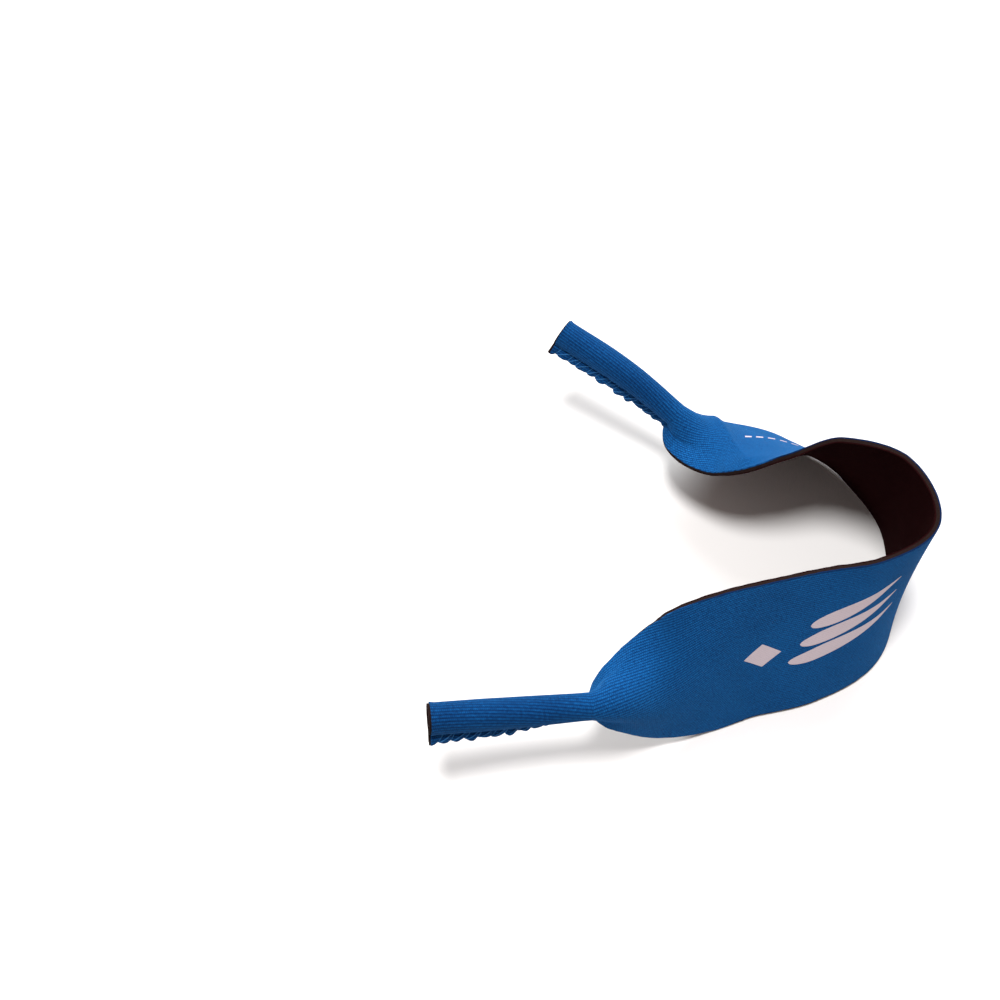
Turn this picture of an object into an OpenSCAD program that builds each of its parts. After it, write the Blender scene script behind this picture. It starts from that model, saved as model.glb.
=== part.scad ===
// Neoprene eyeglass retainer strap, standing on the lower edge of its band.
// +Z up, +X from the temple sockets towards the middle of the band, origin on the table.
// The laminate is one long sheet. Its place along the strap is s, in mm from the middle of
// the band, negative on the wearer's left. Its place across is v, from -0.5 at the lower
// edge to 0.5 at the upper edge, and d is the distance out from the sheet's middle surface.

/* [Laminate] */
// Thickness of the knitted outer jersey
jersey_t = 0.4; // [0.3:0.1:0.5]
// Thickness of the neoprene foam core
foam_t = 1; // [0.8:0.1:1.1]
// Thickness of the soft inner lining
lining_t = 0.4; // [0.3:0.1:0.5]
// How far the jersey and the lining stop short of the foam's cut edge
skin_setback = 0.9; // [0.7:0.1:1.2]

/* [Band] */
// Full width of the band
band_w = 46; // [40:1:50]
// Length over which each end of the band widens from its neck
flare_l = 38; // [34:1:42]
// Length over which each end of the band unrolls until it is flat
unroll_l = 46; // [42:1:50]
// Width of the fabric where it closes into a sleeve
neck_w = 19; // [18.5:0.5:20]
// Place of the left flex line along the strap
left_flex_s = -4; // [-8:1:0]
// Place of the right flex line along the strap
right_flex_s = 20; // [16:1:24]
// Gap between two stretches of fabric at a flex line
flex_gap = 0.8; // [0.6:0.1:1.2]

/* [Sleeves] */
// Length of a sleeve from its pivot to its mouth
sleeve_l = 38; // [34:1:42]
// Radius of the socket that grips the temple arm
socket_r = 2.8; // [2.6:0.1:2.9]
// Length of the straight part of the socket
socket_l = 26; // [20:1:28]
// Outer radius of a sleeve at its mouth
mouth_r = 4.5; // [4.4:0.1:4.8]
// Outward angle of the left sleeve, seen from above
left_splay = 22; // [16:1:28]
// Outward angle of the right sleeve, seen from above
right_splay = 19; // [13:1:25]
// Upward angle of the left sleeve
left_rise = 5; // [1:1:9]
// Upward angle of the right sleeve
right_rise = 15; // [11:1:19]

/* [Sewing] */
// Distance from one overlock stitch to the next
stitch_pitch = 3.4; // [3:0.1:4]
// Height of the gathered seam allowance
allowance_h = 2.2; // [1.6:0.1:2.6]
// Thickness of the gathered seam allowance
allowance_t = 1.8; // [1.6:0.1:2.2]
// Thickness of the sewing thread
thread_d = 0.3; // [0.2:0.05:0.4]

/* [Print] */
// Thickness of the printed ink film
ink_t = 0.15; // [0.1:0.05:0.2]
// Gap between the ink film and the faceted jersey
ink_gap = 0.12; // [0.1:0.02:0.14]

/* [Hidden] */
$fn = 48;

LEFT = -1;
RIGHT = 1;

// Colours of the materials
jersey_colour = [0.07, 0.33, 0.62];
foam_colour = [0.10, 0.08, 0.08];
lining_colour = [0.09, 0.04, 0.05];
thread_colour = [0.05, 0.20, 0.40];
ink_colour = [0.80, 0.80, 0.82];

// Faces of the layers, as distances from the middle surface of the laminate
half_t = (jersey_t + foam_t + lining_t) / 2;
lining_d = [-half_t, -half_t + lining_t];
foam_d = [-half_t + lining_t, half_t - jersey_t];
jersey_d = [half_t - jersey_t, half_t];
ink_d = [half_t + ink_gap, half_t + ink_gap + ink_t];

// The fabric closes into a sleeve at neck_s, and the sleeve pivots just beyond it
neck_s = 94;
neck_r = neck_w / 360 * 180 / PI;
pivot_to_neck = 3;
pivot_s = neck_s + pivot_to_neck;
mouth_s = pivot_s + sleeve_l;
sleeve_ball_r = 5;
band_ball_r = 5.35;

// Centre line of the band: [s, x, y, z, lean], where lean tips the outer face upwards.
// Where the band rests on its lower edge, z is worked out from its width and its lean.
function rest(lean) = band_w / 2 * cos(lean) + half_t * sin(lean);
BAND = [
    [-neck_s, -17.3, -42.2, 26, 70],
    [-71, 1.2, -29.9, 20, 38],
    [-51, 17, -17.5, rest(28), 28],
    [-31, 35, -7.5, rest(27), 27],
    [-11, 50.5, 4, rest(17), 17],
    [7, 57.5, 21, rest(2), 2],
    [27, 50.5, 39.5, rest(9), 9],
    [45, 35.5, 48, rest(22), 22],
    [62, 19, 49, rest(39), 39],
    [78, 2.1, 48.2, 17, 56],
    [neck_s, -13.2, 49.6, 21.7, 76]
];
last = len(BAND) - 1;
// Moves the middle of the strap's footprint to the origin and its lowest edge to the table
datum = [-1.36, -2.33, 0.08];
left_mouth_lean = 130;
right_mouth_lean = 42;

// Mathematics of smooth curves
function clamp(x) = min(1, max(0, x));
function smooth(x) = clamp(x) * clamp(x) * (3 - 2 * clamp(x));
function unit(a) = a / norm(a);
function mix(a, b, u) = a + (b - a) * u;
function hermite(a, ta, b, tb, h, u) =
    (2 * u^3 - 3 * u^2 + 1) * a + (u^3 - 2 * u^2 + u) * h * ta
    + (3 * u^2 - 2 * u^3) * b + (u^3 - u^2) * h * tb;

// Sleeve geometry
function splay(side) = side == LEFT ? left_splay : right_splay;
function rise(side) = side == LEFT ? left_rise : right_rise;
function mouth_lean(side) = side == LEFT ? left_mouth_lean : right_mouth_lean;
function azimuth(side) = 180 - side * splay(side);
function mouth_dir(side) =
    [cos(rise(side)) * cos(azimuth(side)), cos(rise(side)) * sin(azimuth(side)), sin(rise(side))];
function neck(side) = place(side * neck_s);
function pivot(side) = neck(side) + pivot_to_neck * mouth_dir(side);
function neck_lean(side) = BAND[side == LEFT ? 0 : last][4];
function sleeve_lean(side, z) =
    mix(neck_lean(side), mouth_lean(side), smooth((z + pivot_to_neck) / (sleeve_l + pivot_to_neck)));

// Centre line and lean of the band at any s
function slope(i) = (BAND[i + 1] - BAND[i - 1]) / (BAND[i + 1][0] - BAND[i - 1][0]);
function end_slope(side) = concat([1], side * mouth_dir(side), [0]);
function tangent(i) = i == 0 ? end_slope(LEFT) : i == last ? end_slope(RIGHT) : slope(i);
function span(s) = max([for (i = [0:last - 1]) if (i == 0 || s >= BAND[i][0]) i]);
function station(s) =
    let (i = span(s), h = BAND[i + 1][0] - BAND[i][0])
    hermite(BAND[i], tangent(i), BAND[i + 1], tangent(i + 1), h, (s - BAND[i][0]) / h);
function place(s) = let (a = station(s)) [a[1], a[2], a[3]] + datum;

// Frame of the band at s: [middle point, outward normal, direction across]
step = 0.05;
function frame(s) =
    let (
        ahead = unit(place(min(s + step, neck_s)) - place(max(s - step, -neck_s))),
        up = unit([0, 0, 1] - ahead[2] * ahead),
        out = cross(ahead, up),
        lean = station(s)[4]
    )
    [place(s), cos(lean) * out + sin(lean) * up, cos(lean) * up - sin(lean) * out];

// Section of the sheet at s: width, angle through which it curls, and width of the curl
quick_share = 0.65;
quick_l = 2.5;
curl_l = 12;
flare_power = 1.6;
function from_neck(s) = neck_s - abs(s);
function width(s) = neck_w + (band_w - neck_w) * sin(90 * min(from_neck(s) / flare_l, 1))^flare_power;
function curl(s) =
    let (x = from_neck(s), slow = max(0, 1 - x / unroll_l)^2)
    max(0.05, 360 * (quick_share * exp(-x / quick_l) + (1 - quick_share) * slow));
function curl_half(s) = width(s) / 2 * (1 - 0.5 * smooth(from_neck(s) / curl_l));
function axis_offset(s) = neck_r * (1 - smooth(from_neck(s) / unroll_l));

// Point of the sheet, given the frame at its s
function sheet_point(f, s, v, d) =
    let (
        q = v * width(s),
        m = curl_half(s),
        half = curl(s) / 2,
        r = m * 180 / PI / half,
        a = max(-1, min(1, q / m)) * half,
        flat = sign(q) * max(abs(q) - m, 0),
        outward = axis_offset(s) + r * (cos(a) - 1) - abs(flat) * sin(half) + d * cos(a),
        across = r * sin(a) + flat * cos(half) + d * sin(a)
    )
    f[0] + outward * f[1] + across * f[2];

// Closed solid of a sheet. Each row is [s, list of v], and d is [inner, outer].
function spread(low, high, cols) = [for (j = [0:cols]) mix(low, high, j / cols)];
module sheet(rows, d) {
    n = len(rows) - 1;
    cols = len(rows[0][1]) - 1;
    function at(i, j, k) = (i * (cols + 1) + j) * 2 + k;
    points = [
        for (row = rows) let (f = frame(row[0]))
            for (v = row[1], k = [0, 1])
                sheet_point(f, row[0], v, d[k])
    ];
    skins = [
        for (i = [0:n - 1], j = [0:cols - 1]) each [
            [at(i, j, 1), at(i, j + 1, 1), at(i + 1, j + 1, 1)],
            [at(i, j, 1), at(i + 1, j + 1, 1), at(i + 1, j, 1)],
            [at(i, j, 0), at(i + 1, j + 1, 0), at(i, j + 1, 0)],
            [at(i, j, 0), at(i + 1, j, 0), at(i + 1, j + 1, 0)]
        ]
    ];
    edges = [
        for (i = [0:n - 1]) each [
            [at(i, 0, 0), at(i, 0, 1), at(i + 1, 0, 1)],
            [at(i, 0, 0), at(i + 1, 0, 1), at(i + 1, 0, 0)],
            [at(i, cols, 0), at(i + 1, cols, 0), at(i + 1, cols, 1)],
            [at(i, cols, 0), at(i + 1, cols, 1), at(i, cols, 1)]
        ]
    ];
    ends = [
        for (j = [0:cols - 1]) each [
            [at(0, j, 0), at(0, j + 1, 0), at(0, j + 1, 1)],
            [at(0, j, 0), at(0, j + 1, 1), at(0, j, 1)],
            [at(n, j, 0), at(n, j, 1), at(n, j + 1, 1)],
            [at(n, j, 0), at(n, j + 1, 1), at(n, j + 1, 0)]
        ]
    ];
    polyhedron(points, concat(skins, edges, ends));
}

// One layer of the laminate over a stretch of the band. Layers share their rows and their
// inner columns, so their faces meet exactly. Only the foam has the two edge columns.
band_cols = 10;
row_pitch = 4;
module layer(s0, s1, d) {
    count = ceil((s1 - s0) / row_pitch);
    rows = [
        for (i = [0:count])
            let (
                s = mix(s0, s1, i / count),
                v = 0.5 - skin_setback / width(s),
                inner = spread(-v, v, band_cols)
            )
            [s, d == foam_d ? concat([-0.5], inner, [0.5]) : inner]
    ];
    sheet(rows, d);
}

// The side bands start just clear of the ball that their sleeve's end turns in
band_start = pivot_s - sqrt(band_ball_r^2 - (neck_r - half_t)^2);
module back(d) { layer(left_flex_s + flex_gap / 2, right_flex_s - flex_gap / 2, d); }
module left_band(d) { layer(-band_start, left_flex_s - flex_gap / 2, d); }
module right_band(d) { layer(right_flex_s + flex_gap / 2, band_start, d); }

// Sleeve profile: z runs from the pivot to the mouth. The bore is straight along the
// temple arm and narrows towards the neck, where the end follows the ball.
taper_end = sleeve_l - socket_l;
swell_end = 24;
swell = 0.2;
function ball_z(r) = -sqrt(sleeve_ball_r^2 - r^2);
function wall(r_neck, r_middle, r_mouth) = [
    [r_neck, ball_z(r_neck)], [r_neck, 0], [r_middle, taper_end],
    [r_mouth, swell_end], [r_mouth, sleeve_l]
];
function backwards(list) = [for (i = [len(list) - 1:-1:0]) list[i]];
bore_wall = wall(neck_r + lining_d[0], socket_r, socket_r);
lining_wall = wall(neck_r + lining_d[1], socket_r + lining_t, socket_r + lining_t);
foam_wall = wall(neck_r + foam_d[1], mouth_r - jersey_t - swell, mouth_r - jersey_t);
jersey_wall = wall(neck_r + half_t, mouth_r - swell, mouth_r);
function sleeve_r(z) = lookup(z, [for (p = jersey_wall) [p[1], p[0]]]);

module on_sleeve(side) {
    translate(pivot(side)) rotate([0, 90 - rise(side), azimuth(side)]) children();
}
module tube(side, inner, outer) {
    on_sleeve(side) rotate_extrude() polygon(concat(inner, backwards(outer)));
}

// Seam: the two edges of the sheet stand out along the underside of the sleeve
seam_start = 3;
seam_end = sleeve_l - 0.6;
seam_gap = 0.02;
stitches = floor((seam_end - seam_start) / stitch_pitch);
function seam_angle(side, z) = side * (90 - sleeve_lean(side, z));
function stitch_z(i) = seam_start + (i + 0.5) * stitch_pitch;

// Gathered allowance, a strip that bulges between stitches, swept along the sleeve
rings_per_stitch = 4;
gather = 0.25;
module seam_allowance(side) {
    count = stitches * rings_per_stitch;
    function turned(side, z, p) =
        let (a = seam_angle(side, z)) [p[0] * cos(a) - p[1] * sin(a), p[0] * sin(a) + p[1] * cos(a), z];
    rings = [
        for (i = [0:count])
            let (
                z = seam_start + i * stitch_pitch / rings_per_stitch,
                puff = gather * (0.5 - 0.5 * cos(360 * i / rings_per_stitch)),
                near = sleeve_r(z) + seam_gap,
                far = near + allowance_h + puff,
                h = allowance_t / 2
            )
            [
                turned(side, z, [near, -h]), turned(side, z, [far - 0.5, -h - puff]),
                turned(side, z, [far, -h / 2]), turned(side, z, [far, h / 2]),
                turned(side, z, [far - 0.5, h + puff]), turned(side, z, [near, h])
            ]
    ];
    sides = len(rings[0]);
    walls = [
        for (i = [0:count - 1], j = [0:sides - 1])
            let (a = i * sides + j, b = i * sides + (j + 1) % sides)
            each [[a, b + sides, b], [a, a + sides, b + sides]]
    ];
    first = [for (j = [0:sides - 1]) j];
    final = [for (j = [sides - 1:-1:0]) count * sides + j];
    on_sleeve(side) polyhedron([for (ring = rings) each ring], concat(walls, [first, final]));
}

// Places children at each stitch, with +X out of the sleeve along the seam allowance
module each_stitch(side) {
    on_sleeve(side)
        for (i = [0:stitches - 1])
            rotate([0, 0, seam_angle(side, stitch_z(i))])
                translate([sleeve_r(stitch_z(i)), 0, stitch_z(i)])
                    children();
}
stitch_len = stitch_pitch * 0.6;
thread_clear = allowance_t / 2 + gather + 0.05;
edge_clear = allowance_h + gather + 0.1;

// Needle thread: a straight stitch along the root of the allowance
module needle_thread(side) {
    each_stitch(side)
        translate([allowance_h * 0.35, thread_clear + thread_d / 2, -stitch_len / 2])
            cylinder(d = thread_d, h = stitch_len);
}

// Upper looper thread: crosses the outer face and the edge of the allowance
module upper_looper(side) {
    each_stitch(side) {
        translate([allowance_h * 0.55, thread_clear, -thread_d / 2])
            cube([edge_clear - allowance_h * 0.55, thread_d, thread_d]);
        translate([edge_clear, 0, -thread_d / 2])
            cube([thread_d, thread_clear + thread_d, thread_d]);
    }
}

// Lower looper thread: crosses the inner face and meets the upper one at the edge
module lower_looper(side) {
    each_stitch(side) {
        translate([allowance_h * 0.25, -thread_clear - thread_d, -thread_d / 2])
            cube([edge_clear - allowance_h * 0.25, thread_d, thread_d]);
        translate([edge_clear, -thread_clear - thread_d, -thread_d / 2])
            cube([thread_d, thread_clear + thread_d, thread_d]);
    }
}

// Printed marks, as films on the jersey
mark_s = -45;
mark_l = 5;
mark_h = 0.085;
mark_v = -0.02;
module print_mark() {
    rows = [
        for (i = [-4:4])
            let (h = mark_h * (1.04 - abs(i) / 4))
            [mark_s + mark_l * i / 4, spread(mark_v - h, mark_v + h, 2)]
    ];
    sheet(rows, ink_d);
}

// A stripe is [start s, end s, v at start, v at end, thickest half width in v]
STRIPES = [[-38, -7, -0.12, 0.02, 0.045], [-35, -6, 0.00, 0.14, 0.045], [-32, -5, 0.12, 0.26, 0.045]];
module stripe(s0, s1, v0, v1, thick) {
    n = 9;
    rows = [
        for (i = [0:n])
            let (u = i / n, mid = mix(v0, v1, u^1.5), h = thick * (0.06 + sin(180 * u^0.6)))
            [mix(s0, s1, u), [mid - h, mid + h]]
    ];
    sheet(rows, ink_d);
}
module print_stripes() {
    for (a = STRIPES) stripe(a[0], a[1], a[2], a[3], a[4]);
}

dash_count = 5;
dash_pitch = 3;
dash_l = 1.8;
first_dash_s = 58.5;
dash_v = [-0.345, -0.315];
dash_climb = 0.023;
module print_dashes() {
    for (i = [0:dash_count - 1])
        let (s = first_dash_s + i * dash_pitch, lift = i * dash_pitch * dash_climb, v = dash_v + [lift, lift])
            sheet([[s, v], [s + dash_l, v]], ink_d);
}

// Sub-parts
module back_foam() { color(foam_colour) back(foam_d); }
module back_jersey() { color(jersey_colour) back(jersey_d); }
module back_lining() { color(lining_colour) back(lining_d); }
module left_band_foam() { color(foam_colour) left_band(foam_d); }
module left_band_jersey() { color(jersey_colour) left_band(jersey_d); }
module left_band_lining() { color(lining_colour) left_band(lining_d); }
module right_band_foam() { color(foam_colour) right_band(foam_d); }
module right_band_jersey() { color(jersey_colour) right_band(jersey_d); }
module right_band_lining() { color(lining_colour) right_band(lining_d); }
module sleeve_foam(side) { color(foam_colour) tube(side, lining_wall, foam_wall); }
module sleeve_jersey(side) { color(jersey_colour) tube(side, foam_wall, jersey_wall); }
module sleeve_lining(side) { color(lining_colour) tube(side, bore_wall, lining_wall); }
module allowance(side) { color(jersey_colour) seam_allowance(side); }
module needle(side) { color(thread_colour) needle_thread(side); }
module upper(side) { color(thread_colour) upper_looper(side); }
module lower(side) { color(thread_colour) lower_looper(side); }
module mark() { color(ink_colour) print_mark(); }
module stripes() { color(ink_colour) print_stripes(); }
module dashes() { color(ink_colour) print_dashes(); }

back_foam();
back_jersey();
back_lining();
left_band_foam();
left_band_jersey();
left_band_lining();
right_band_foam();
right_band_jersey();
right_band_lining();
sleeve_foam(LEFT);  // left_sleeve_foam
sleeve_jersey(LEFT);  // left_sleeve_jersey
sleeve_lining(LEFT);  // left_sleeve_lining
sleeve_foam(RIGHT);  // right_sleeve_foam
sleeve_jersey(RIGHT);  // right_sleeve_jersey
sleeve_lining(RIGHT);  // right_sleeve_lining
allowance(LEFT);  // left_seam_allowance
needle(LEFT);  // left_needle_thread
upper(LEFT);  // left_upper_looper
lower(LEFT);  // left_lower_looper
allowance(RIGHT);  // right_seam_allowance
needle(RIGHT);  // right_needle_thread
upper(RIGHT);  // right_upper_looper
lower(RIGHT);  // right_lower_looper
mark();  // left_print_mark
stripes();  // left_print_stripes
dashes();  // right_print_dashes
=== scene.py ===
"""Looks of the neoprene eyeglass retainer strap: one bonded laminate, sewn into a sleeve at each end.

s is the place along the strap in mm, from its middle, negative on the wearer's left. A column is a
place across it, from the middle of the sheet to its cut edges, negative on the lower side. Lengths
are in mm until a mesh is made, because the laminate is thin.
"""
import math

import bpy
import numpy as np
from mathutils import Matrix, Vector


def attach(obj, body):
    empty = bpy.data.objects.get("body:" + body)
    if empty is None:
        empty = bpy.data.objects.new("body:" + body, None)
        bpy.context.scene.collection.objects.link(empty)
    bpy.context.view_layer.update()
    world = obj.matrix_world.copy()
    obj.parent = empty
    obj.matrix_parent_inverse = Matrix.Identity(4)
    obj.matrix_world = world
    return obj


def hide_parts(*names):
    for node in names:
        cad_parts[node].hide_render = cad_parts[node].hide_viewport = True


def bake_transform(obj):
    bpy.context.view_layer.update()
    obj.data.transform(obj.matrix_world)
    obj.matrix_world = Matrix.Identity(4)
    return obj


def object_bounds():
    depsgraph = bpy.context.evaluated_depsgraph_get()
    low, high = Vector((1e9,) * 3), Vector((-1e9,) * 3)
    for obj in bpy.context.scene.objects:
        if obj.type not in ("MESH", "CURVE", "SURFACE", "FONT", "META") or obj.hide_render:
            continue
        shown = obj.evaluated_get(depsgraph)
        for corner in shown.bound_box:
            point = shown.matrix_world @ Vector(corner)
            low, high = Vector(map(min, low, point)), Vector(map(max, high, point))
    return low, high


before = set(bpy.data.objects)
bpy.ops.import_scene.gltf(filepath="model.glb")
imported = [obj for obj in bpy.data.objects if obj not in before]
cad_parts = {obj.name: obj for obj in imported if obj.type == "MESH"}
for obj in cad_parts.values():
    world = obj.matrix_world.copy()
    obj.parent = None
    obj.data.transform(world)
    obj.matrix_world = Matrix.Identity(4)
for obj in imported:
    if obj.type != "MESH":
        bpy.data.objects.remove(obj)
cad_lo, cad_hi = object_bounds()

MM = 0.001
LEFT, RIGHT = -1, 1
SIDE_NAME = {LEFT: "left", RIGHT: "right"}

# ---- Design sizes, as in the CAD model -------------------------------------------------------
BAND_W = 46.0          # width of the band
NECK_W = 19.0          # width of the fabric where it closes into a sleeve
NECK_S = 94.0          # place of that neck along the strap
PIVOT_TO_NECK = 3.0    # from the neck on to the sleeve's pivot
SLEEVE_L = 38.0        # from the pivot to the mouth
PIVOT_S = NECK_S + PIVOT_TO_NECK
MOUTH_S = PIVOT_S + SLEEVE_L
SPLAY = {LEFT: 22.0, RIGHT: 19.0}         # outward angle of a sleeve, seen from above
RISE = {LEFT: 5.0, RIGHT: 15.0}           # upward angle of a sleeve
MOUTH_LEAN = {LEFT: 130.0, RIGHT: 42.0}   # lean of the sheet at the mouth
FLEX_S = {LEFT: -4.0, RIGHT: 20.0}        # place of a flex line along the strap
HALF_T = 0.9           # half the laminate's thickness
DATUM = np.array([-1.36, -2.33, 0.08])    # moves the centre line below to the part's frame
TABLE_Z = float(cad_lo[2]) / MM
ABOVE_TABLE = 0.02     # the lowest that any fabric reaches
# Faces of the laminate from the inside out: distances from its middle surface in the band,
# and radii in a sleeve at these distances from the pivot
FACE_D = [-0.9, -0.5, 0.5, 0.9]
WALL_Z = [0.0, 12.0, 24.0]
WALL_R = [[2.12, 2.8, 2.8], [2.52, 3.2, 3.2], [3.52, 3.9, 4.1], [3.92, 4.3, 4.5]]
LAYERS = {"lining": (0, 1), "foam": (1, 2), "jersey": (2, 3)}
NECK_R = NECK_W / (2 * math.pi)


def rest(lean):
    """Height of the band's middle where it stands on its lower edge at this lean."""
    return BAND_W / 2 * math.cos(math.radians(lean)) + HALF_T * math.sin(math.radians(lean))


# Centre line of the band: s, x, y, z, lean
BAND = np.array([
    [-NECK_S, -17.3, -42.2, 26, 70],
    [-71, 1.2, -29.9, 20, 38],
    [-51, 17, -17.5, rest(28), 28],
    [-31, 35, -7.5, rest(27), 27],
    [-11, 50.5, 4, rest(17), 17],
    [7, 57.5, 21, rest(2), 2],
    [27, 50.5, 39.5, rest(9), 9],
    [45, 35.5, 48, rest(22), 22],
    [62, 19, 49, rest(39), 39],
    [78, 2.1, 48.2, 17, 56],
    [NECK_S, -13.2, 49.6, 21.7, 76],
])

# ---- Shape of the sewn sleeves -----------------------------------------------------------------
TUBE_COLS = 26         # columns from the middle of the sheet to the crease of the seam
FOLD_COLS = 5          # columns in the fold at the crease
FIN_COLS = 10          # columns from the fold to the cut edge
LAST_COL = TUBE_COLS + FOLD_COLS + FIN_COLS
FOLD_R = 0.8           # radius of the fold at the crease
PLY_H = 0.58           # from the seam's plane to the middle of one ply
PLY_SQUEEZE = 0.62     # thickness of a sewn ply, as a share of the wall's
FIN_L = 2.5            # from the fold to the cut edge
SLIM = 0.87            # how far the curl is drawn in by the seam, as a share of its radius
TWIST = {LEFT: 2.0, RIGHT: 1.0}   # how early in the sleeve its seam turns
BOW = {LEFT: -0.8, RIGHT: 2.7}    # how far the sleeve's middle arches up
LUMP_PITCH = 3.4       # from one gathered lump to the next
LUMP_SLANT = 0.35      # how far a groove leans along the strap, in lumps, from foot to tip
MOUTH_FLARE = 0.25     # how far the mouth's outer faces spread
MOUTH_GAP = 0.55       # from the mouth's cut foam back to the jersey
FIN_WAVE = 0.3         # how far the cut edge of the seam allowance waves to either side
PUFF = 0.55            # how far a gathered lump stands proud of the allowance
# How far the cut edge reaches past its plain line, in a lump (times its puff) and everywhere
JERSEY_TIP = (0.9, -0.3)
LINING_TIP = (0.6, -0.7)

# How each end opens into the band, for LEFT and RIGHT
FLARE_L = {LEFT: 38.0, RIGHT: 34.0}       # length over which the sheet widens
UPPER_POWER = {LEFT: 1.8, RIGHT: 1.1}     # how late its upper half widens
LOWER_POWER = {LEFT: 2.05, RIGHT: 1.7}    # how late its lower half widens
UNROLL_L = {LEFT: 54.0, RIGHT: 42.0}      # length over which it unrolls
QUICK_CURL = {LEFT: 0.45, RIGHT: 0.76}    # share of the curl that goes right by the neck
QUICK_L = {LEFT: 4.3, RIGHT: 4.9}         # how far that share reaches in the upper half
LOWER_REACH = {LEFT: 1.55, RIGHT: 1.1}    # and how much further in the lower half

SPLIT_S = {LEFT: -48.0, RIGHT: 56.0}      # where a sleeve end meets its band piece
BACK_S = 8.0                              # where the two band pieces meet


# ---- Smooth curves ----------------------------------------------------------------------------
def smooth(x):
    x = np.clip(x, 0, 1)
    return x * x * (3 - 2 * x)


def mix(a, b, u):
    return a + (b - a) * u


def unit(a):
    return a / np.linalg.norm(a, axis=-1, keepdims=True)


def hermite(a, ta, b, tb, h, u):
    """Cubic from a to b with slopes ta and tb, over a length h."""
    return ((2 * u**3 - 3 * u**2 + 1) * a + (u**3 - 2 * u**2 + u) * h * ta
            + (3 * u**2 - 2 * u**3) * b + (u**3 - u**2) * h * tb)


def per_side(s, table):
    """The table's value for the side that each s is on."""
    return np.where(s < 0, table[LEFT], table[RIGHT])


def mouth_dir(side):
    """Direction from a sleeve's pivot out through its mouth."""
    turn, rise = math.radians(180 - side * SPLAY[side]), math.radians(RISE[side])
    return np.array([math.cos(rise) * math.cos(turn), math.cos(rise) * math.sin(turn), math.sin(rise)])


def band_slopes():
    """Slopes of the centre line at its points, by s."""
    inner = (BAND[2:] - BAND[:-2]) / (BAND[2:, :1] - BAND[:-2, :1])
    ends = [np.concatenate([[1.0], side * mouth_dir(side), [0.0]]) for side in (LEFT, RIGHT)]
    return np.vstack([ends[0], inner, ends[1]])


SLOPES = band_slopes()


def stations(s):
    """Rows of s, x, y, z, lean along the band and on along the sleeves."""
    s = np.asarray(s, float)
    inside = np.clip(s, -NECK_S, NECK_S)
    i = np.clip(np.searchsorted(BAND[:, 0], inside, side="right") - 1, 0, len(BAND) - 2)
    h = (BAND[i + 1, 0] - BAND[i, 0])[:, None]
    u = (inside[:, None] - BAND[i, :1]) / h
    rows = hermite(BAND[i], SLOPES[i], BAND[i + 1], SLOPES[i + 1], h, u)
    for side, end in ((LEFT, 0), (RIGHT, -1)):
        beyond = np.clip(side * s - NECK_S, 0, None)
        rows[:, 1:4] += beyond[:, None] * mouth_dir(side)
        u = np.clip(beyond / (SLEEVE_L + PIVOT_TO_NECK), 0, 1)
        rows[:, 4] += (MOUTH_LEAN[side] - BAND[end, 4]) * (1 - (1 - u) ** TWIST[side])
        arch = np.clip((side * s - NECK_S + 8) / (MOUTH_S - NECK_S + 8), 0, 1)
        rows[:, 3] += BOW[side] * np.sin(np.pi * arch) ** 1.3
    return rows


def frames(s):
    """Middle point, direction along, outward normal and direction across at each s."""
    rows, step = stations(s), 0.05
    ahead = unit(stations(s + step)[:, 1:4] - stations(s - step)[:, 1:4])
    up = unit(np.array([0, 0, 1.0]) - ahead[:, 2:] * ahead)
    out = np.cross(ahead, up)
    lean = np.radians(rows[:, 4:])
    return (rows[:, 1:4] + DATUM, ahead, np.cos(lean) * out + np.sin(lean) * up,
            np.cos(lean) * up - np.sin(lean) * out)


# ---- The laminate -----------------------------------------------------------------------------
def tube_radius(s):
    """Radius of the wall's middle in a sleeve."""
    z = np.clip(np.abs(s) - PIVOT_S, 0, None)
    return (np.interp(z, WALL_Z, WALL_R[0]) + np.interp(z, WALL_Z, WALL_R[3])) / 2


def profile(s, lower):
    """One half of the section at each s, as columns: angle of the main curl and its length,
    the turn back at the fold and its length, the length of the flank, and how far the middle
    of the sheet stands out from the centre line."""
    x = np.clip(NECK_S - np.abs(s), 0, None)
    tube_r = SLIM * tube_radius(s)
    closed = np.pi - np.arcsin((PLY_H + FOLD_R) / (tube_r + FOLD_R))
    quick, unroll_l = per_side(s, QUICK_CURL), per_side(s, UNROLL_L)
    quick_l = per_side(s, QUICK_L) * (per_side(s, LOWER_REACH) if lower else 1)
    slow = np.clip(1 - x / unroll_l, 0, 1) ** 2.5
    curl = np.maximum(closed * (quick * np.exp(-x / quick_l) + (1 - quick) * slow), 1e-3)
    back = (closed - np.pi / 2) * np.exp(-((x / 8) ** 2))
    curl_l = tube_r * closed
    fold_l = FOLD_R * (closed - np.pi / 2)
    neck = curl_l + fold_l + FIN_L
    opening = np.sin(np.pi / 2 * np.clip(x / per_side(s, FLARE_L), 0, 1))
    opening = opening ** per_side(s, LOWER_POWER if lower else UPPER_POWER)
    half = mix(neck, BAND_W / 2, opening)
    curl_l = mix(curl_l, half / 2, smooth(x / 14))
    fold_l = fold_l + 3 * smooth(x / 16)
    offset = np.where(x > 0, NECK_R * (1 - smooth(x / unroll_l)), tube_radius(s))
    return [a[:, None] for a in (curl, curl_l, back, fold_l, half - curl_l - fold_l, offset)]


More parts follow.
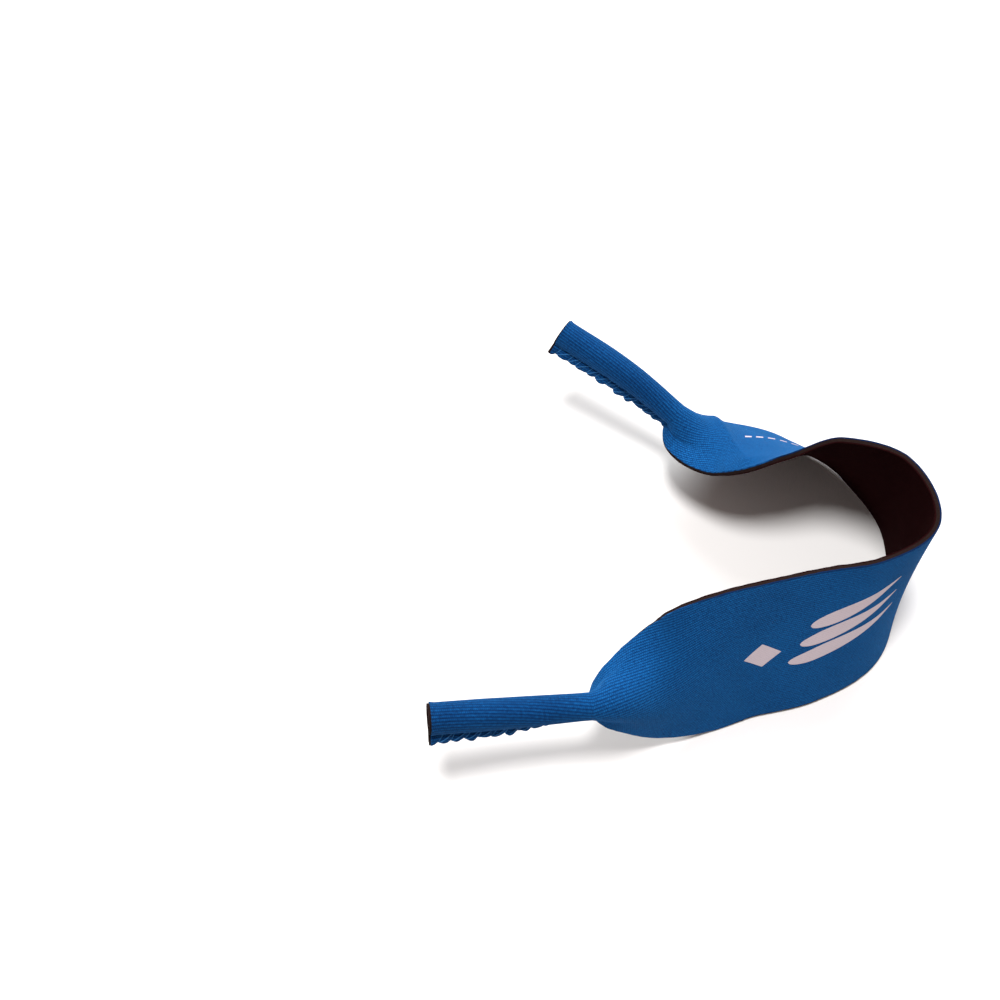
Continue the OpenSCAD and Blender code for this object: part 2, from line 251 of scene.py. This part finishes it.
def half_section(s, lower):
    """Outward, across and turn of the middle surface and its flat distance, by column."""
    curl, curl_l, back, fold_l, flank_l, offset = profile(s, lower)
    j = np.arange(LAST_COL + 1)[None, :]
    in_curl = np.clip(j / TUBE_COLS, 0, 1)
    in_fold = np.clip((j - TUBE_COLS) / FOLD_COLS, 0, 1)
    in_flank = np.clip((j - TUBE_COLS - FOLD_COLS) / FIN_COLS, 0, 1)
    q = in_curl * curl_l + in_fold * fold_l + in_flank * flank_l
    turn = in_curl * curl - in_fold * back
    dq = np.diff(q, axis=1)
    halfway = (turn[:, 1:] + turn[:, :-1]) / 2
    start = np.zeros((len(s), 1))
    out = np.concatenate([start, np.cumsum(-np.sin(halfway) * dq, axis=1)], axis=1) + offset
    across = np.concatenate([start, np.cumsum(np.cos(halfway) * dq, axis=1)], axis=1)
    return np.stack([out, across, turn, q])


def section(s):
    """The whole section, from the lower cut edge to the upper one."""
    sign = np.array([1, -1, -1, -1])[:, None, None]
    lower = sign * half_section(s, True)[:, :, :0:-1]
    return np.concatenate([lower, half_section(s, False)], axis=2)


COLUMNS = np.arange(-LAST_COL, LAST_COL + 1)
IN_FOLD = np.clip((np.abs(COLUMNS) - TUBE_COLS) / FOLD_COLS, 0, 1)
IN_FLANK = np.clip((np.abs(COLUMNS) - TUBE_COLS - FOLD_COLS) / FIN_COLS, 0, 1)


def lump_place(z, side):
    """Number of lumps from the mouth to z, with the small unevenness of a hand-fed seam."""
    return (SLEEVE_L - z) / LUMP_PITCH + 0.1 * np.sin(z * 0.9 + side) + 1


def lumps(s, slant):
    """How far the gathered allowance puffs out, from 0 in a groove to about 1 between two."""
    puff = np.zeros((len(s), len(slant)))
    for side in (LEFT, RIGHT):
        z = np.clip(side * s - PIVOT_S, -4, None)
        place = lump_place(z, side)[:, None] + slant[None, :]
        sizes = np.random.default_rng(11 + side).uniform(0.5, 1.25, 16)
        sizes[0:2] = 1.3   # the largest are at the mouth
        i = np.clip(np.floor(place).astype(int), 0, 15)
        here = sizes[i] * np.abs(np.sin(np.pi * place)) ** 0.6
        puff += np.where(side * s > NECK_S - 4, 1, 0)[:, None] * here
    return puff


# Creases where a sleeve opens into the band: points of each as s and flat distance
RIGHT_CREASE = np.array([[-14.0, 81.5], [-4, 80.8], [0, 79], [7, 76], [13, 73.5], [21, 71]])
LEFT_CREASE = np.array([[-91.0, 4.5], [-88.5, 6.5], [-84.5, 8], [-81.5, 10.5], [-78, 14.5]])
CREASE_H = {LEFT: 1.3, RIGHT: 1.7}
CREASE_W = {LEFT: 2.8, RIGHT: 3.2}
CREASE_R = 0.3


def creases(s, q):
    """How far the laminate stands up along the creases, in mm. Each fades out at its ends."""
    from_right = 0.9 * (s[:, None] - np.interp(q, RIGHT_CREASE[:, 0], RIGHT_CREASE[:, 1]))
    from_left = 0.8 * (q - np.interp(s, LEFT_CREASE[:, 0], LEFT_CREASE[:, 1])[:, None])
    right, left = (CREASE_H[side] * np.exp(-np.sqrt(t**2 + CREASE_R**2) / CREASE_W[side])
                   for side, t in ((RIGHT, from_right), (LEFT, from_left)))
    ends = smooth((s + 92) / 4) * smooth((-74 - s) / 6)
    right = right * smooth((q + 15) / 6) * smooth((21.5 - q) / 5) * smooth((s[:, None] - 60) / 8)
    return np.where(s[:, None] > 0, right, left * ends[:, None])


def surface(s, k):
    """Points of face k of the laminate, in mm, as an array of rows and columns."""
    s = np.asarray(s, float)
    middle, _, normal, across_dir = frames(s)
    out, across, turn, q = section(s)
    z = np.abs(s) - PIVOT_S
    wall = np.where(z > 0, np.interp(z, WALL_Z, WALL_R[k]) - tube_radius(s), FACE_D[k])[:, None]
    closed = 1 - smooth((NECK_S - np.abs(s)) / 7)[:, None]
    sewn = closed * smooth((np.abs(s) - NECK_S + 3) / 5)[:, None]
    squeeze = mix(1, PLY_SQUEEZE, closed * smooth(IN_FOLD)[None, :])
    bevel = 1 - 0.03 * (1 - closed) * smooth((IN_FLANK - 0.8) / 0.2)[None, :]
    wave = np.sin(1.35 * z + 0.7 * np.sin(0.45 * z))[:, None] * sewn
    to_one_side = (np.sign(COLUMNS) * IN_FLANK**2)[None, :]
    d = wall * squeeze * bevel + creases(s, q) + FIN_WAVE * wave * to_one_side
    puff = lumps(s, LUMP_SLANT * IN_FLANK) * sewn
    foot = smooth(IN_FOLD * 0.5 + IN_FLANK)[None, :]
    if k == 3:
        d = d + puff * PUFF * foot * (1 - 0.6 * IN_FLANK**4)[None, :] - 0.25 * sewn * IN_FLANK**6
    by_puff, always = JERSEY_TIP if k > 1 else LINING_TIP
    tip = (IN_FLANK**2)[None, :] * sewn * (by_puff * puff + always)
    flare = MOUTH_FLARE * smooth((z - SLEEVE_L + 2) / 2)[:, None] * (1 - IN_FLANK)[None, :]
    d = d + (flare if k > 0 else 0)
    ahead_turn = np.sign(COLUMNS)[None, :] * tip
    out = out + d * np.cos(turn) - ahead_turn * np.sin(turn)
    across = across + d * np.sin(turn) + ahead_turn * np.cos(turn)
    points = (middle[:, None, :] + out[..., None] * normal[:, None]
              + across[..., None] * across_dir[:, None])
    points[..., 2] = np.maximum(points[..., 2], TABLE_Z + ABOVE_TABLE)
    return points


def at_column(s, column, k):
    """A point of face k between two columns."""
    row = surface(np.array([float(s)]), k)[0]
    return np.array([np.interp(column, COLUMNS, row[:, i]) for i in range(3)])


def at_flat(s, q):
    """Points on the jersey and on its inner face, at flat distances q from the middle."""
    at = np.array([float(s)])
    flat = section(at)[3, 0]
    rows = [surface(at, k)[0] for k in (3, 2)]
    return [np.stack([np.interp(q, flat, row[:, i]) for i in range(3)], -1) for row in rows]


# ---- Meshes -----------------------------------------------------------------------------------
SLEEVE_PITCH = 0.4     # from one row of a mesh to the next
BAND_PITCH = 0.8
FRAY = 0.09            # how uneven the scissors leave a cut edge


def s_rows(s0, s1):
    """Places along the strap, closer together in the sleeves, where the seam is gathered."""
    out = [s0]
    while out[-1] < s1 - 1e-6:
        pitch = SLEEVE_PITCH if abs(out[-1]) > NECK_S - 14 else BAND_PITCH
        out.append(min(out[-1] + pitch, s1))
    return np.array(out)


def grid_normals(points):
    """Unit normals of a grid of points, on the side that its outer face looks to."""
    return unit(np.cross(np.gradient(points, axis=0), np.gradient(points, axis=1)) + 1e-12)


def solid_mesh(name, inner, outer, uv, material, normals=None):
    """Closed solid between two grids of points, with the grid's flat pattern as its UV map."""
    n, m = inner.shape[:2]
    index = np.arange(n * m).reshape(n, m)
    top = index + n * m
    quads = [
        np.stack([top[:-1, :-1], top[1:, :-1], top[1:, 1:], top[:-1, 1:]], -1).reshape(-1, 4),
        np.stack([index[:-1, :-1], index[:-1, 1:], index[1:, 1:], index[1:, :-1]], -1).reshape(-1, 4),
        np.stack([index[:-1, 0], index[1:, 0], top[1:, 0], top[:-1, 0]], -1),
        np.stack([index[1:, -1], index[:-1, -1], top[:-1, -1], top[1:, -1]], -1),
        np.stack([index[0, 1:], index[0, :-1], top[0, :-1], top[0, 1:]], -1),
        np.stack([index[-1, :-1], index[-1, 1:], top[-1, 1:], top[-1, :-1]], -1),
    ]
    faces = np.concatenate(quads)
    points = np.concatenate([inner.reshape(-1, 3), outer.reshape(-1, 3)]) * MM
    mesh = bpy.data.meshes.new(name)
    mesh.vertices.add(len(points))
    mesh.vertices.foreach_set("co", points.astype(np.float32).ravel())
    mesh.loops.add(faces.size)
    mesh.loops.foreach_set("vertex_index", faces.ravel().astype(np.int32))
    mesh.polygons.add(len(faces))
    mesh.polygons.foreach_set("loop_start", np.arange(0, faces.size, 4, dtype=np.int32))
    mesh.update(calc_edges=True)
    flat = np.concatenate([uv.reshape(-1, 2)] * 2) * MM
    layer = mesh.uv_layers.new(name="flat")
    layer.data.foreach_set("uv", flat[faces.ravel()].astype(np.float32).ravel())
    mesh.materials.append(material)
    skins = 2 * (n - 1) * (m - 1)
    is_smooth = np.zeros(len(faces), bool)
    is_smooth[:skins] = True
    mesh.polygons.foreach_set("use_smooth", is_smooth)
    if normals is not None:
        by_point = np.concatenate([-normals[0].reshape(-1, 3), normals[1].reshape(-1, 3)])
        by_loop = by_point[faces]
        corner = points[faces[skins:]]
        rim = np.cross(corner[:, 2] - corner[:, 0], corner[:, 3] - corner[:, 1])
        by_loop[skins:] = unit(rim + 1e-15)[:, None, :]
        mesh.normals_split_custom_set(by_loop.reshape(-1, 3).tolist())
    piece = bpy.data.objects.new(name, mesh)
    bpy.context.scene.collection.objects.link(piece)
    return piece


def fray(s, seed):
    """Small unevenness of a cut edge along the strap, in mm."""
    places = np.arange(-MOUTH_S - 2, MOUTH_S + 2, 0.4)
    rough = np.random.default_rng(seed).normal(0, 1, len(places))
    rough = np.convolve(rough, np.hanning(7) / np.hanning(7).sum(), "same")
    return FRAY * np.interp(s, places, rough)


def cut_edges(points, s, seed):
    """Roughens the two cut edges a little, as scissors leave them."""
    for column, inward in ((0, 1), (-1, -2)):
        direction = unit(points[:, column] - points[:, inward] + 1e-9)
        points[:, column] += direction * fray(s, seed + column)[:, None]
    points[..., 2] = np.maximum(points[..., 2], TABLE_Z + ABOVE_TABLE)
    return points


def laminate_piece(name, layer, s0, s1, material):
    """One layer from s0 to s1. Its normals come from a longer stretch, so that they run on
    smoothly into the next piece."""
    margin = 0.4
    if layer == "jersey":
        s0, s1 = max(s0, MOUTH_GAP - MOUTH_S), min(s1, MOUTH_S - MOUTH_GAP)
    s = s_rows(s0, s1)
    longer = np.concatenate([[s0 - margin], s, [s1 + margin]])
    longer = np.clip(longer, -MOUTH_S - 0.01, MOUTH_S + 0.01)
    inner, outer = (cut_edges(surface(longer, k), longer, 100 + k) for k in LAYERS[layer])
    normals = [grid_normals(grid)[1:-1] for grid in (inner, outer)]
    flat = section(s)[3]
    uv = np.stack(np.broadcast_arrays(s[:, None], flat), -1)
    return solid_mesh(name, inner[1:-1], outer[1:-1], uv, material, normals)


# ---- Materials --------------------------------------------------------------------------------
class Nodes:
    """A material's node tree with short calls for its nodes."""

    def __init__(self, name):
        self.material = bpy.data.materials.new(name)
        self.material.use_nodes = True
        self.tree = self.material.node_tree
        self.bsdf = self.tree.nodes["Principled BSDF"]

    def put(self, socket, value):
        if isinstance(value, bpy.types.NodeSocket):
            self.tree.links.new(value, socket)
        elif value is not None:
            socket.default_value = value

    def math(self, operation, a, b=None, c=None):
        node = self.tree.nodes.new("ShaderNodeMath")
        node.operation = operation
        for socket, value in zip(node.inputs, (a, b, c)):
            self.put(socket, value)
        return node.outputs[0]

    def uv(self):
        node = self.tree.nodes.new("ShaderNodeUVMap")
        node.uv_map = "flat"
        split = self.tree.nodes.new("ShaderNodeSeparateXYZ")
        self.tree.links.new(node.outputs[0], split.inputs[0])
        return node.outputs[0], split.outputs[0], split.outputs[1]

    def map_range(self, value, low, high, at_low, at_high, kind="LINEAR"):
        node = self.tree.nodes.new("ShaderNodeMapRange")
        node.interpolation_type = kind
        for socket, number in zip(node.inputs, (value, low, high, at_low, at_high)):
            self.put(socket, number)
        return node.outputs[0]

    def position(self):
        return self.tree.nodes.new("ShaderNodeTexCoord").outputs["Object"]

    def noise(self, vector, scale, detail=2.0, rough=0.5):
        node = self.tree.nodes.new("ShaderNodeTexNoise")
        self.put(node.inputs["Vector"], vector)
        node.inputs["Scale"].default_value = scale
        node.inputs["Detail"].default_value = detail
        node.inputs["Roughness"].default_value = rough
        return node.outputs[0]

    def voronoi(self, vector, scale):
        node = self.tree.nodes.new("ShaderNodeTexVoronoi")
        self.put(node.inputs["Vector"], vector)
        node.inputs["Scale"].default_value = scale
        return node.outputs["Distance"]

    def ramp(self, fac, stops):
        node = self.tree.nodes.new("ShaderNodeValToRGB")
        self.put(node.inputs[0], fac)
        elements = node.color_ramp.elements
        while len(elements) < len(stops):
            elements.new(0.5)
        for element, (at, colour) in zip(elements, stops):
            element.position = at
            element.color = (*colour, 1)
        return node.outputs[0]

    def bump(self, height, distance, strength=1.0):
        node = self.tree.nodes.new("ShaderNodeBump")
        self.put(node.inputs["Height"], height)
        node.inputs["Distance"].default_value = distance
        node.inputs["Strength"].default_value = strength
        self.tree.links.new(node.outputs[0], self.bsdf.inputs["Normal"])

    def surface(self, roughness, sheen=0.0, tint=(1, 1, 1), specular=0.5):
        self.bsdf.inputs["Roughness"].default_value = roughness
        self.bsdf.inputs["Sheen Weight"].default_value = sheen
        self.bsdf.inputs["Sheen Roughness"].default_value = 0.5
        self.bsdf.inputs["Sheen Tint"].default_value = (*tint, 1)
        self.bsdf.inputs["Specular IOR Level"].default_value = specular


WALE = 0.66 * MM
COURSE = 0.5 * MM
BIAS = 0.2             # slope at which the wales climb across the left end of the band
BIAS_END = 40.0        # and how far from the strap's middle they stop climbing


def knit_height(n):
    """Relief of the jersey: round wales along the strap, each a chain of small stitches."""
    _, u, v = n.uv()
    bias = n.map_range(u, -NECK_S * MM, -BIAS_END * MM, 0, BIAS * (NECK_S - BIAS_END) * MM)
    row = n.math("DIVIDE", n.math("SUBTRACT", v, bias), WALE)
    column = n.math("DIVIDE", u, COURSE)
    rib = n.math("ABSOLUTE", n.math("SINE", n.math("MULTIPLY", row, math.pi)))
    offset = n.math("MULTIPLY", n.math("FLOOR", row), 0.5)
    slant = n.math("MULTIPLY", n.math("PINGPONG", row, 0.5), 0.9)
    chain = n.math("ADD", n.math("ADD", column, offset), slant)
    stitch = n.math("ABSOLUTE", n.math("SINE", n.math("MULTIPLY", chain, math.pi)))
    wale = n.math("MULTIPLY", n.math("POWER", rib, 0.7), 0.62)
    return n.math("ADD", wale, n.math("MULTIPLY", stitch, 0.38))


def jersey_material():
    n = Nodes("blue_jersey")
    vector, along, across = n.uv()
    height = knit_height(n)
    speckle = n.noise(vector, 1500, 4, 0.75)
    cloud = n.noise(vector, 60, 3)
    # Painted shade: the knit's relief darkens the colour in the grooves between wales and between
    # stitches.
    tone = n.math("ADD", n.math("MULTIPLY", height, 0.36), n.math("MULTIPLY", speckle, 0.52))
    tone = n.math("ADD", tone, n.math("MULTIPLY", cloud, 0.12))
    # Over the sleeves the cloth is coloured darker, and along the band's cut edges it is darkened as
    # painted shade.
    left_end, right_end = -(NECK_S + 10) * MM, (NECK_S + 10) * MM
    left = n.map_range(along, left_end, -(NECK_S - 4) * MM, 0.09, 0, "SMOOTHSTEP")
    right = n.map_range(along, (NECK_S - 6) * MM, right_end, 0, 0.07, "SMOOTHSTEP")
    tone = n.math("SUBTRACT", n.math("SUBTRACT", tone, left), right)
    half = BAND_W / 2
    cut = n.map_range(n.math("ABSOLUTE", across), (half - 0.25) * MM, (half - 0.05) * MM, 0, 0.4)
    tone = n.math("SUBTRACT", tone, cut)
    colour = n.ramp(tone, [
        (0.34, (0.0016, 0.014, 0.060)), (0.54, (0.0036, 0.050, 0.180)), (0.72, (0.0080, 0.120, 0.370))])
    n.put(n.bsdf.inputs["Base Color"], colour)
    n.surface(0.9, sheen=0.22, tint=(0.08, 0.45, 1.0), specular=0.04)
    n.bump(n.math("ADD", height, n.math("MULTIPLY", speckle, 0.8)), 0.14 * MM, 1.0)
    return n.material


def foam_material():
    n = Nodes("foam_edge")
    place = n.position()
    cells = n.voronoi(place, 3600)
    grain = n.noise(place, 2500, 3, 0.6)
    tone = n.math("ADD", n.math("MULTIPLY", cells, 0.6), n.math("MULTIPLY", grain, 0.5))
    colour = n.ramp(tone, [(0.2, (0.007, 0.0035, 0.003)), (0.8, (0.020, 0.010, 0.009))])
    n.put(n.bsdf.inputs["Base Color"], colour)
    n.surface(0.95, specular=0.08)
    n.bump(tone, 0.15 * MM, 0.8)
    return n.material


def lining_material():
    n = Nodes("dark_lining")
    vector, _, _ = n.uv()
    nap = n.noise(vector, 4200, 4, 0.7)
    patch = n.noise(vector, 160, 2)
    tone = n.math("ADD", n.math("MULTIPLY", nap, 0.8), n.math("MULTIPLY", patch, 0.2))
    colour = n.ramp(tone, [(0.3, (0.007, 0.0013, 0.0016)), (0.75, (0.020, 0.0040, 0.0046))])
    n.put(n.bsdf.inputs["Base Color"], colour)
    n.surface(0.97, specular=0.01)
    n.bump(nap, 0.12 * MM, 0.7)
    return n.material


def ink_material():
    n = Nodes("grey_ink")
    vector, _, _ = n.uv()
    height = knit_height(n)
    wear = n.noise(vector, 1900, 4, 0.7)
    # Painted shade: the knit's relief darkens the ink in the grooves between wales and between
    # stitches.
    tone = n.math("ADD", n.math("MULTIPLY", height, 0.4), n.math("MULTIPLY", wear, 0.6))
    colour = n.ramp(tone, [(0.25, (0.46, 0.40, 0.45)), (0.6, (0.60, 0.52, 0.57))])
    n.put(n.bsdf.inputs["Base Color"], colour)
    n.surface(0.7, specular=0.15)
    n.bump(height, 0.05 * MM, 0.6)
    return n.material


def thread_material():
    n = Nodes("blue_thread")
    place = n.position()
    fibre = n.noise(place, 5200, 3, 0.6)
    colour = n.ramp(fibre, [(0.3, (0.010, 0.085, 0.26)), (0.7, (0.035, 0.20, 0.48))])
    n.put(n.bsdf.inputs["Base Color"], colour)
    n.surface(0.7, sheen=0.05, tint=(0.5, 0.7, 1.0), specular=0.2)
    n.bump(fibre, 0.06 * MM, 0.7)
    return n.material


JERSEY, FOAM, LINING = jersey_material(), foam_material(), lining_material()
INK, THREAD = ink_material(), thread_material()
LAYER_LOOK = {"jersey": JERSEY, "foam": FOAM, "lining": LINING}


# ---- Laminate pieces, with their transforms baked into their meshes ---------------------------
def point_at(s):
    middle, ahead, _, _ = frames(np.array([float(s)]))
    return middle[0], ahead[0]


def bend_at_neck(piece):
    """Bakes the piece's transform into its mesh."""
    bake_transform(piece)


def bend_at_flex(piece, side):
    """Bakes the piece's transform into its mesh."""
    middle, ahead = point_at(FLEX_S[side])
    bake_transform(piece)


def make_laminate():
    for layer in LAYERS:
        for side in (LEFT, RIGHT):
            name = SIDE_NAME[side]
            split = SPLIT_S[side]
            s0, s1 = sorted((split, side * MOUTH_S))
            outer = laminate_piece(f"{name}_{layer}_sleeve_end", layer, s0, s1, LAYER_LOOK[layer])
            bend_at_neck(outer)
            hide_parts(f"{name}_sleeve_{layer}")
            s2, s3 = sorted((split, BACK_S))
            middle = laminate_piece(f"{name}_{layer}_band", layer, s2, s3, LAYER_LOOK[layer])
            bend_at_flex(middle, side)
            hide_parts(f"{name}_band_{layer}", f"back_{layer}")
            if layer == "jersey":
                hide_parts(f"{name}_seam_allowance")


make_laminate()


# ---- Print ------------------------------------------------------------------------------------
INK_LIFT = 0.015       # the film's underside above the jersey
INK_TOP = 0.05


def film(name, outlines):
    """Ink film on the jersey. Each outline is rows of s, and lowest and highest flat distance."""
    made = []
    for i, (s, low, high) in enumerate(outlines):
        q = mix(low[:, None], high[:, None], np.linspace(0, 1, 9)[None, :])
        faces = [at_flat(place, across) for place, across in zip(s, q)]
        outside = np.stack([face[0] for face in faces])
        proud = unit(outside - np.stack([face[1] for face in faces]))
        uv = np.stack(np.broadcast_arrays(s[:, None], q), -1)
        made.append(solid_mesh(f"{name}_{i}", outside + INK_LIFT * proud, outside + INK_TOP * proud,
                               uv, INK, (proud, proud)))
    bpy.ops.object.select_all(action="DESELECT")
    for piece in made:
        piece.select_set(True)
    bpy.context.view_layer.objects.active = made[0]
    if len(made) > 1:
        bpy.ops.object.join()
    made[0].name = name
    made[0].data.name = name
    return made[0]


def rhombus(centre, length, height, at):
    """A rhombus around s = centre and the flat distance at, with half its length and height."""
    u = np.linspace(-1, 1, 41)
    h = height * np.clip(1.02 - np.abs(u), 0.02, 1)
    return centre + length * u, at - h, at + h


def stripe(s0, s1, q0, q1, thick):
    """A stripe from s0 to s1 that climbs from q0 to q1 and tapers to a point."""
    u = np.linspace(0, 1, 70)
    middle = mix(q0, q1, u**1.5)
    h = thick * (0.03 + np.sin(np.pi * u**0.6) ** 0.9)
    return mix(s0, s1, u), middle - h, middle + h


DASH_S, DASH_Q = 58.5, -15.0    # where the row of dashes starts
DASH_PITCH = 3.0                # from one dash to the next along the strap
DASH_CLIMB = 3.1                # and across it
DASH_L = 1.8
DASH_H = 0.7                    # half the width of a dash


def dash(i):
    """Dash number i of a row that climbs across the strap."""
    u = np.linspace(0, 1, 8)
    middle = DASH_Q + DASH_CLIMB * i + DASH_L * u
    return DASH_S + DASH_PITCH * i + DASH_L * u, middle - DASH_H, middle + DASH_H


mark = film("print_mark", [rhombus(-45, 5, 3.9, -0.9)])
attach(mark, "left_band")
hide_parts("left_print_mark")

stripes = film("print_stripes", [
    stripe(-38, -7, -5.5, 0.9, 2.1),
    stripe(-35, -6, 0.0, 6.4, 2.1),
    stripe(-32, -5, 5.5, 12.0, 2.1)])
bend_at_flex(stripes, LEFT)
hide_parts("left_print_stripes")

dashes = film("print_dashes", [dash(i) for i in range(5)])
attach(dashes, "right_band")
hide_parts("right_print_dashes")


# ---- Sewing threads ---------------------------------------------------------------------------
def tube_mesh(name, paths, radius, material, sides=6):
    """One mesh of round threads, each along a list of points in mm."""
    points, faces = [], []
    for path in paths:
        path = np.asarray(path, float)
        ahead = unit(np.gradient(path, axis=0))
        helper = np.array([0.3, 0.2, 0.93])
        side = unit(np.cross(ahead, helper))
        up = np.cross(ahead, side)
        turn = np.arange(sides) * 2 * np.pi / sides
        ring = (path[:, None] + radius * (np.cos(turn)[None, :, None] * side[:, None]
                                          + np.sin(turn)[None, :, None] * up[:, None]))
        base = len(points)
        points.extend(ring.reshape(-1, 3))
        n = len(path)
        for i in range(n - 1):
            for j in range(sides):
                a, b = base + i * sides + j, base + i * sides + (j + 1) % sides
                faces.append((a, b, b + sides, a + sides))
        faces.append(tuple(base + j for j in reversed(range(sides))))
        faces.append(tuple(base + (n - 1) * sides + j for j in range(sides)))
    mesh = bpy.data.meshes.new(name)
    mesh.from_pydata([tuple(p * MM) for p in points], [], faces)
    mesh.polygons.foreach_set("use_smooth", [len(p.vertices) == 4 for p in mesh.polygons])
    mesh.materials.append(material)
    piece = bpy.data.objects.new(name, mesh)
    bpy.context.scene.collection.objects.link(piece)
    return piece


THREAD_R = 0.13
FOOT_COL = TUBE_COLS + FOLD_COLS // 2


def on_allowance(s, g, ply, proud):
    """A point just off the jersey of the allowance: g from its foot to its tip, ply -1 or 1."""
    column = ply * mix(FOOT_COL, LAST_COL, g)
    outside, inside = at_column(s, column, 3), at_column(s, column, 2)
    return outside + unit(outside - inside) * proud


def groove(side, number, g):
    """Place along the strap of a groove between two lumps, at g from its foot to its tip."""
    slant = LUMP_SLANT * np.clip((mix(FOOT_COL, LAST_COL, g) - TUBE_COLS - FOLD_COLS) / FIN_COLS, 0, 1)
    z = SLEEVE_L - number * LUMP_PITCH
    for _ in range(4):
        z += (lump_place(z, side) + slant - 1 - number) * LUMP_PITCH
    return side * (PIVOT_S + z)


def make_threads(side):
    """The overlock of one sleeve: needle stitches along the allowance's foot, and on each ply
    a looper thread that lies in every groove and slants across to the next."""
    name = SIDE_NAME[side]
    numbers = [i for i in range(1, 12) if abs(groove(side, i, 0)) > PIVOT_S - 0.5]
    along = np.linspace(-1.1, 1.1, 7)
    over = np.linspace(0.1, 0.99, 10)
    needle = [[on_allowance(groove(side, i, 0) + side * u, 0.12, 1, THREAD_R * 0.8) for u in along]
              for i in numbers]
    upper, lower = [], []
    for ply, paths in ((-1, upper), (1, lower)):
        for i in numbers:
            paths.append([on_allowance(groove(side, i, g), g, ply, THREAD_R * 0.7) for g in over])
            slants = [mix(groove(side, i, g), groove(side, i + 1, g), 0.94 - 0.88 * g) for g in over]
            paths.append([on_allowance(s, g, ply, THREAD_R * 0.7) for s, g in zip(slants, over)])
    for kind, paths in (("needle_thread", needle), ("upper_looper", upper), ("lower_looper", lower)):
        piece = tube_mesh(f"{name}_{kind}_yarn", paths, THREAD_R, THREAD)
        bend_at_neck(piece)
        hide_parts(f"{name}_{kind}")


for side in (LEFT, RIGHT):
    make_threads(side)


# ---- Floor, light and camera ------------------------------------------------------------------
def make_stage():
    """The pale table, large enough to fill every view."""
    mesh = bpy.data.meshes.new("table")
    half, z = 3.0, float(cad_lo[2])
    corners = [(-half, -half, z), (half, -half, z), (half, half, z), (-half, half, z)]
    mesh.from_pydata(corners, [], [(0, 1, 2, 3)])
    n = Nodes("pale_table")
    n.bsdf.inputs["Base Color"].default_value = (0.86, 0.85, 0.845, 1)
    n.surface(0.8, specular=0.1)
    mesh.materials.append(n.material)
    table = bpy.data.objects.new("table", mesh)
    bpy.context.scene.collection.objects.link(table)


def area_light(name, place, target, size, power, colour=(1, 1, 1)):
    data = bpy.data.lights.new(name, "AREA")
    data.shape = "DISK"
    data.size, data.energy, data.color = size, power, colour
    lamp = bpy.data.objects.new(name, data)
    lamp.location = place
    lamp.rotation_euler = (Vector(target) - Vector(place)).to_track_quat("-Z", "Y").to_euler()
    bpy.context.scene.collection.objects.link(lamp)


def make_lights():
    """A high key that casts the shadows, a wide softbox behind and a warm fill all round."""
    centre = Vector((cad_lo + cad_hi) / 2)
    key_at, softbox_at = Vector((-0.12, 0.03, 0.85)), Vector((-0.1, 0.75, 0.62))
    area_light("key", centre + key_at, centre, 0.25, 7.4, (1.0, 0.99, 0.98))
    area_light("back_softbox", centre + softbox_at, centre, 0.8, 10.0, (0.95, 0.99, 1.0))
    world = bpy.context.scene.world or bpy.data.worlds.new("studio")
    bpy.context.scene.world = world
    world.use_nodes = True
    background = world.node_tree.nodes["Background"]
    background.inputs[0].default_value = (1.0, 0.86, 0.81, 1)
    background.inputs[1].default_value = 0.32
    bpy.context.scene.view_settings.view_transform = "Standard"


# The camera turns about the target: how far round, how high and how far away it stands
VIEW_TURN = math.radians(15)
VIEW_HEIGHT = math.radians(62.2)
VIEW_DISTANCE = 352.4
VIEW_TARGET = np.array([-57.94, 21.6, -0.03])


def make_camera():
    target = Vector((DATUM + VIEW_TARGET) * MM)
    back = Vector((math.sin(VIEW_TURN) * math.cos(VIEW_HEIGHT),
                   -math.cos(VIEW_TURN) * math.cos(VIEW_HEIGHT), math.sin(VIEW_HEIGHT)))
    data = bpy.data.cameras.new("camera")
    data.lens, data.sensor_width = 42.4, 36.0
    data.clip_start = 0.01
    camera = bpy.data.objects.new("camera", data)
    camera.location = target + back * VIEW_DISTANCE * MM
    camera.rotation_euler = (-back).to_track_quat("-Z", "Y").to_euler()
    bpy.context.scene.collection.objects.link(camera)
    bpy.context.scene.camera = camera


make_stage()
make_lights()
make_camera()
